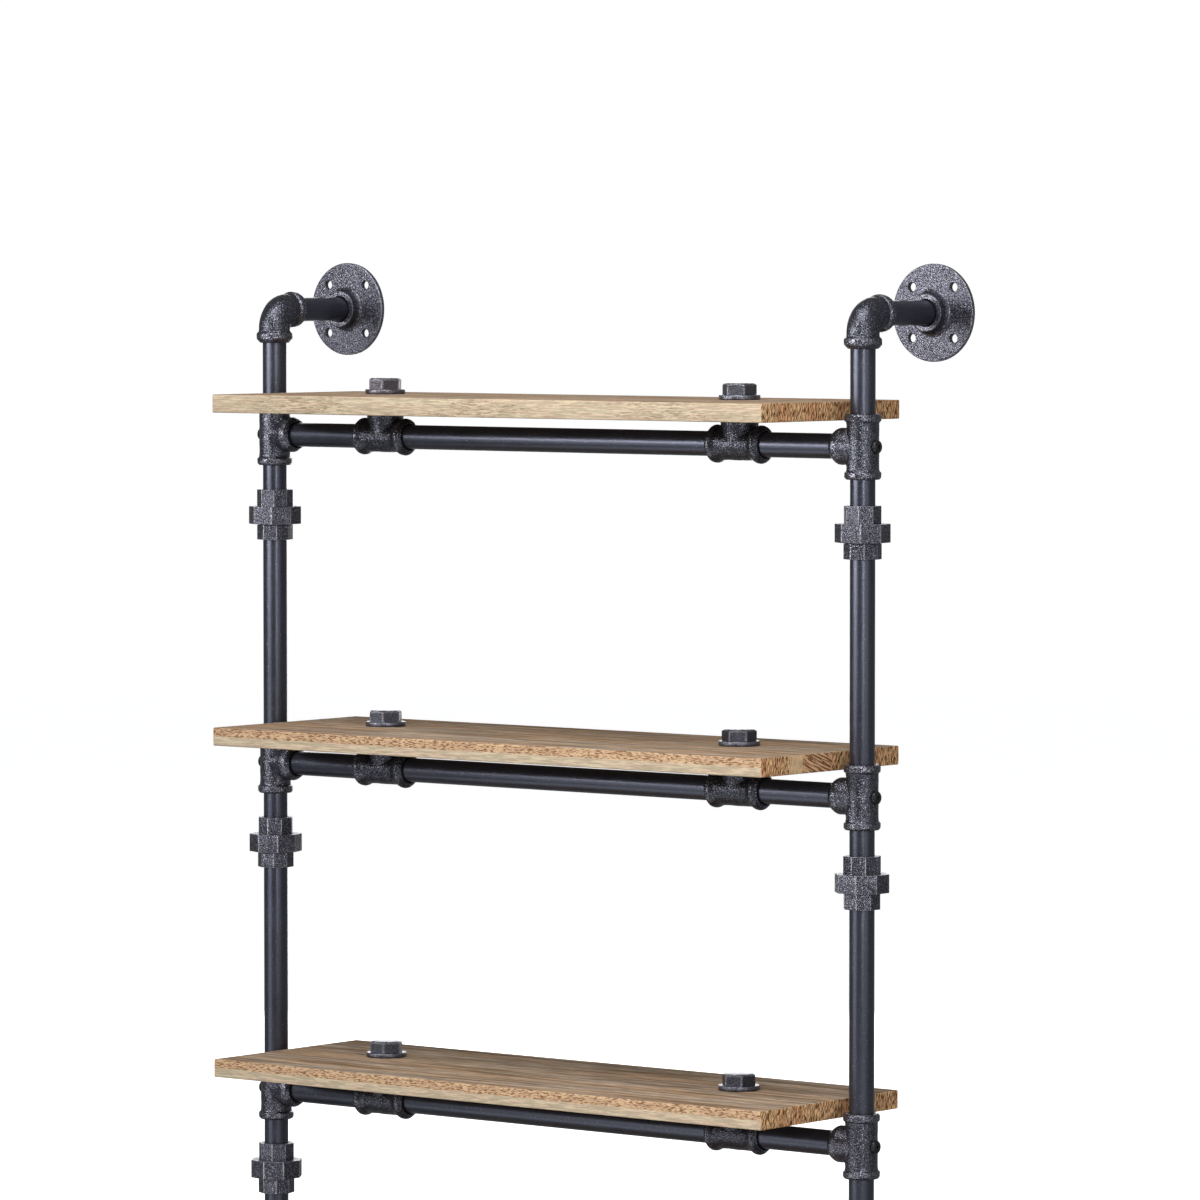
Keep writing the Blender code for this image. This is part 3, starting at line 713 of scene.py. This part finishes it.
def flangeMesh():
    # Ring profile turned round Z, less the screw holes. Back face at the origin, hub up Z
    thick, height, hub = flange["thickness"], flange["height"], flange["hub"]
    edge, socket = flange["radius"], flange["socket"]
    line = softProfile([(socket, 0, 0.3), (edge, 0, 0.5), (edge, thick, 1.1), (flange["foot"], thick, 2.6),
                        (hub, thick + flange["footRise"], 2.2), (hub, height, 1.1),
                        (socket + flange["chamferOut"], height, 0.5),
                        (socket, height - flange["chamferDepth"], 0.2)])
    line = refined(np.concatenate([line, line[:1]]), 2.2)[:-1]
    swell = castWobble(flange["wobble"], flange["seed"])

    def inRim(radius, heights, angle):
        # The rim itself stays round
        return np.where(radius < (edge - 3) * mm, swell(radius, heights, angle), radius)

    plate = skin("flange", turnedGrid(line, flange["columns"], inRim))
    holes = []
    wide, chamfer = flange["hole"], flange["holeChamfer"]
    for number in range(flange["holeCount"]):
        angle = math.tau * (number + 0.5) / flange["holeCount"]
        away = Vector((math.cos(angle), math.sin(angle), 0)) * flange["holeCircle"] * mm
        hole = shaft("hole", [(wide, -2, 0), (wide, thick - chamfer, 0.3),
                              (wide + chamfer, thick + 0.01, 0), (wide + chamfer + 0.1, thick + 2, 0)], 40)
        hole.transform(Matrix.Translation(away))
        holes.append(hole)
    mesh = combined(plate, holes, "DIFFERENCE")
    x, y, z = (pointsOf(mesh) / mm).T
    out = np.hypot(x, y)
    rim = ramp(out, edge - 1.2, edge - 0.4) * (z > 2)
    crest = ramp(z, height - 1.0, height - 0.3) * 0.3
    return mark(mesh, "wear", np.maximum(rim, crest))


def addFlanges():
    mesh = flangeMesh()
    for side in sides:
        node = "wall_flange_" + side
        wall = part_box(node)[1].y
        addPiece("wallFlange" + side.capitalize(), mesh,
                 at(postX[side], wall, middle(node).z, 90, "X"), flangeIron, [node])
        # A leg is one node: a floor flange and the pipe that stands on its plate
        leg = "leg_" + side
        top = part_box(leg)[1].z
        foot = flange["thickness"] * mm
        addPiece("floorFlange" + side.capitalize(), mesh,
                 at(postX[side], postY, 0), flangeIron, [leg])
        addPiece("legPipe" + side.capitalize(), pipeMesh(top - foot),
                 at(postX[side], postY, (top + foot) / 2), paint, [leg])


addFlanges()
print("flanges done")


# Plugs

plug = {"stem": 10.2, "collar": 17.7, "collarHeight": 4.0, "flats": 26.2, "headHeight": 9.8,
        "chamferRise": 1.6, "chamferRun": 2.8, "sides": 6, "sharpness": 70, "columns": 192}
# How far round each plug is screwed, in degrees, by level
plugTurns = {"left": (0, 0, 1, 41), "right": (23, 33, 17, 9)}


def plugMesh(stemDepth):
    # Ring profile whose radius is round on the stem and collar and a soft hexagon on the head; near its
    # top the head is the smaller of the hexagon and a cone
    collar, low, half = plug["collar"], plug["collarHeight"], plug["flats"] / 2
    top = low + plug["headHeight"]
    # Rows for the curve in which the cone meets the flats, given by their depth under the top
    chamferRows = [(half, top - depth, 0) for depth in np.linspace(5.5, 1.2, 9)]
    line = softProfile([(nearAxis, -stemDepth, 0), (plug["stem"], -stemDepth, 0.8), (plug["stem"], 0, 0.2),
                        (collar, 0, 0.5), (collar, low, 1.2), (half, low - 0.3, 0.4), *chamferRows,
                        (half, top, 0.9), (nearAxis, top, 0)], closed=False)
    apothem, height = line[:, :1] / mm, line[:, 1:2] / mm
    angle = ringAngles(plug["columns"])
    halfSide = math.pi / plug["sides"]
    hexagon = softPolygon(angle, plug["sides"], halfSide, plug["sharpness"])
    onHead = (height > low - 0.35) & (apothem < half + 0.05)
    cornerRadius = half / math.cos(halfSide)
    above = np.maximum(height - (top - plug["chamferRise"]), 0)
    cone = cornerRadius - above * plug["chamferRun"] / plug["chamferRise"]
    radius = np.where(onHead, np.minimum(apothem * hexagon, cone), apothem + 0 * angle)
    mesh = skin("plug", roundGrid(radius, height, angle) * mm, joined=False)
    # Wear: the head's corners, the collar's rim and the head's top edge
    corner = ramp(hexagon + 0 * height, 1.09, 1.14) * onHead * (radius > half - 1)
    rim = ramp(radius, collar - 1.2, collar - 0.3) * (height > 1)
    topEdge = (np.abs(height - top + 1.0) < 0.8) * (radius > half - 2)
    return mark(mesh, "wear", np.maximum(corner, np.clip(rim + topEdge, 0, 1)).reshape(-1))


def addPlugs():
    low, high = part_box("shelf_plug_left_1")
    stemDepth = (high.z - low.z) / mm - plug["collarHeight"] - plug["headHeight"]
    mesh = plugMesh(stemDepth)
    for level in levels:
        for side in sides:
            node = f"shelf_plug_{side}_{level}"
            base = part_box(node)[0].z + stemDepth * mm
            addPiece(f"shelfPlug{side.capitalize()}{level}", mesh,
                     at(middle(node).x, postY, base, plugTurns[side][level - 1]),
                     plugIron, [node])


addPlugs()
print("plugs done")


# Screws through the outer side of each post tee

screw = {"head": 5.8, "rise": 3.3, "flatShare": 0.45, "wallShare": 0.22, "socket": 1.75,
         "socketDepth": 1.6, "shank": 2.9, "shankLength": 6.0, "sides": 6, "sharpness": 60, "columns": 72}


def screwMesh():
    # Underside of the head at the origin, head up Z. A quarter ellipse makes the dome, from the rim's
    # low wall up to a flat ring round the socket, which is a soft hexagon
    head, rise, socket = screw["head"], screw["rise"], screw["socket"]
    shank, tip, bottom = screw["shank"], -screw["shankLength"], rise - screw["socketDepth"]
    flat, wall = screw["flatShare"], screw["wallShare"]
    dome = [(head * (flat + (1 - flat) * math.cos(swing)), rise * (wall + (1 - wall) * math.sin(swing)), 0)
            for swing in np.linspace(0, math.pi / 2, 9)[1:-1]]
    line = softProfile([(nearAxis, tip, 0), (shank, tip, 0.3), (shank, 0, 0.1), (head, 0, 0.3),
                        (head, rise * wall, 0), *dome, (head * flat, rise, 0), (socket + 0.25, rise, 0.1),
                        (socket, rise - 0.3, 0.1), (socket, bottom, 0), (nearAxis, bottom, 0)],
                       closed=False)
    angle = ringAngles(screw["columns"])
    hexagon = softPolygon(angle, screw["sides"], 0, screw["sharpness"])
    radius, height = line[:, :1] + 0 * angle, line[:, 1:2]
    inSocket = (radius < (socket + 0.1) * mm) & (height > 0)
    radius = np.where(inSocket, radius * hexagon, radius)
    return skin("screw", roundGrid(radius, height, angle), joined=False)


def addScrews():
    mesh = screwMesh()
    for level in levels:
        for side in sides:
            way = outward[side]
            seat = postX[side] + way * (postTee["body"] + 0.2) * mm
            addPiece(f"teeScrew{side.capitalize()}{level}", mesh,
                     at(seat, postY, barHeight[level], 90 * way, "Y"), screwBlack)


addScrews()
print("screws done")


# Boards

board = {"ease": 0.9, "easeRows": 5, "holeClearance": 0.3}


def boardMesh(length, depth, thickness, holes):
    # Rounded rectangle (y, z) carried along x; near each end it shrinks by ease (1 - cos) while x runs
    # ease sin, which rounds the end edges
    ease = board["ease"]
    half = (depth / 2, thickness / 2)
    swing = np.linspace(0, math.pi / 2, board["easeRows"])
    arcs = []
    for number, (signY, signZ) in enumerate([(1, 1), (-1, 1), (-1, -1), (1, -1)]):
        turned = swing + number * math.pi / 2
        arcs.append(np.stack([signY * (half[0] - ease) + ease * np.cos(turned),
                              signZ * (half[1] - ease) + ease * np.sin(turned)], -1))
    outline = np.concatenate(arcs)
    right = length / 2 - ease + ease * np.sin(swing)
    x = np.concatenate([-right[::-1], right])
    shrink = ease * (1 - np.cos(np.concatenate([swing[::-1], swing])))
    inward = np.sign(outline) * np.minimum(np.abs(outline), 1)
    grid = np.empty((len(x), len(outline), 3))
    grid[..., 0] = x[:, None]
    grid[..., 1:] = outline[None] - shrink[:, None, None] * inward[None]
    mesh = skin("board", grid * mm, joined=False)
    tools = []
    for holeX, holeY, radius in holes:
        tool = shaft("hole", [(radius, -thickness, 0), (radius, thickness, 0)])
        tool.transform(Matrix.Translation((holeX * mm, holeY * mm, 0)))
        tools.append(tool)
    return combined(mesh, tools, "DIFFERENCE")


def markBoard(mesh):
    # Attributes for the oak. front: 1 on the long edges, end: 1 on both ends, rise: 0 at the underside
    # to 1 at the top
    normal = np.empty(len(mesh.polygons) * 3, np.float32)
    mesh.polygons.foreach_get("normal", normal)
    normal = np.abs(normal.reshape(-1, 3))
    for name, axis in (("front", 1), ("end", 0)):
        layer = mesh.attributes.new(name, "FLOAT", "FACE")
        layer.data.foreach_set("value", (normal.argmax(1) == axis).astype(np.float32))
    height = pointsOf(mesh)[:, 2]
    return mark(mesh, "rise", (height - height.min()) / np.ptp(height))


def addBoards():
    for level in levels:
        node = f"shelf_board_{level}"
        low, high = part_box(node)
        centre, size = (low + high) / 2, (high - low) / mm
        radius = plug["stem"] + board["holeClearance"]
        holes = [((middle(f"shelf_tee_{side}_{level}").x - centre.x) / mm, (postY - centre.y) / mm, radius)
                 for side in sides]
        mesh = markBoard(boardMesh(size.x, size.y, size.z, holes))
        addPiece(f"shelfBoard{level}", mesh, at(*centre), oak, [node], 50)


addBoards()
print("boards done")


# Camera, floor and light

# Places in metres
camera = {"lens": 208.69, "sensor": 36, "place": (3.776, -4.6653, 1.2387), "yaw": 38.626, "down": 2.839}
ground = {"radius": 13.0, "curve": 4.0, "height": 9.0, "glow": 0.80, "albedo": 0.80, "nearGlow": 0.52,
          "near": 1.1, "far": 2.8, "rings": 12, "curveRings": 23, "columns": 128}
softLights = [  # name, place, aim, width, height, watts, spread in degrees, what it lights
    ("leftBox", (-0.95, -2.10, 1.36), (0.9, 0, 1.26), 1.5, 0.72, 17, 130, "gloss"),
    ("leftDim", (-0.95, -2.15, 0.45), (0.9, 0, 0.45), 1.5, 0.9, 4, 150, "gloss"),
    ("rightStrip", (1.96, -1.62, 1.35), (-0.3, 0, 1.30), 0.34, 1.3, 15, 180, "gloss"),
    ("rightWash", (2.50, -0.60, 1.20), (0.33, 0, 1.1), 1.3, 1.6, 6, 180, "gloss"),
    ("floorStrip", (0.6, -0.85, 0.02), (0.6, -0.85, 1.0), 3.2, 0.9, 11, 180, "gloss"),
    ("topBox", (0.4, -1.4, 3.2), (0, 0, 0.8), 2.4, 1.6, 66, 180, "both"),
    ("cameraFill", (2.6, -5.4, 1.6), (0, 0, 0.8), 2.5, 2.5, 170, 180, "diffuse"),
    ("rightFill", (3.6, -0.8, 1.2), (0, 0, 0.8), 1.6, 2.2, 34, 180, "diffuse"),
    ("backBox", (-1.6, 2.2, 1.2), (0, 0, 0.9), 1.2, 1.8, 22, 180, "gloss"),
    ("backFill", (-3.2, 4.2, 1.2), (0, 0, 0.8), 2.2, 2.2, 60, 180, "diffuse"),
]
roomGlow = 0.24


def addCamera():
    data = bpy.data.cameras.new("camera")
    data.lens, data.sensor_width = camera["lens"], camera["sensor"]
    eye = bpy.data.objects.new("camera", data)
    eye.location = camera["place"]
    eye.rotation_euler = (math.radians(90 - camera["down"]), 0, math.radians(camera["yaw"]))
    bpy.context.scene.collection.objects.link(eye)
    bpy.context.scene.camera = eye


def groundRecipe(place):
    # Less glow close to the object, where the lights add to it, so that its shadow shows there
    flat = place * (1, 1, 0)
    out = flat.node("ShaderNodeVectorMath", {"operation": "LENGTH"}, {0: flat}, 1)
    return {"Emission Color": out.between(ground["near"], ground["far"], ground["nearGlow"], 1.0)}


def addGround():
    # A disc that curves up into a round wall: rows of (r, h) turned round Z, open at the top, with its
    # faces turned inwards
    flat, curve = ground["radius"], ground["curve"]
    swing = np.linspace(0, math.pi / 2, ground["curveRings"] + 1)[1:]
    disc = np.concatenate([[0.001], np.linspace(1, flat, ground["rings"])])
    r = np.concatenate([disc, flat + curve * np.sin(swing), [flat + curve]])
    h = np.concatenate([0 * disc, curve * (1 - np.cos(swing)), [ground["height"]]])
    mesh = skin("ground", turnedGrid(np.stack([r, h], 1), ground["columns"]), joined=False)
    bm = bmesh.new()
    bm.from_mesh(mesh)
    bm.faces.ensure_lookup_table()
    bmesh.ops.delete(bm, geom=[bm.faces[-1]], context="FACES_ONLY")
    bmesh.ops.reverse_faces(bm, faces=bm.faces)
    bm.to_mesh(mesh)
    bm.free()
    mesh.shade_smooth()
    mesh.materials.append(finish("paleGround", groundRecipe, Base_Color=(ground["albedo"],) * 3,
                                 Roughness=0.9, Specular_IOR_Level=0.0, Emission_Strength=ground["glow"]))
    floor = bpy.data.objects.new("ground", mesh)
    bpy.context.scene.collection.objects.link(floor)
    floor.visible_glossy = False
    floor.visible_diffuse = False


def addLights():
    world = bpy.data.worlds.new("room")
    world.use_nodes = True
    world.node_tree.nodes["Background"].inputs["Color"].default_value = (0.97, 0.98, 1.0, 1)
    world.node_tree.nodes["Background"].inputs["Strength"].default_value = roomGlow
    bpy.context.scene.world = world
    for name, place, aim, width, height, watts, spread, lights in softLights:
        data = bpy.data.lights.new(name, "AREA")
        data.shape, data.size, data.size_y = "RECTANGLE", width, height
        data.energy, data.spread = watts, math.radians(spread)
        light = bpy.data.objects.new(name, data)
        toward = Vector(aim) - Vector(place)
        light.location = place
        light.rotation_euler = toward.to_track_quat("-Z", "Y").to_euler()
        light.visible_camera = False
        light.visible_diffuse = lights != "gloss"
        light.visible_glossy = lights != "diffuse"
        bpy.context.scene.collection.objects.link(light)


addCamera()
addGround()
addLights()
bpy.context.scene.view_settings.view_transform = "Standard"
print("camera, floor and light done")
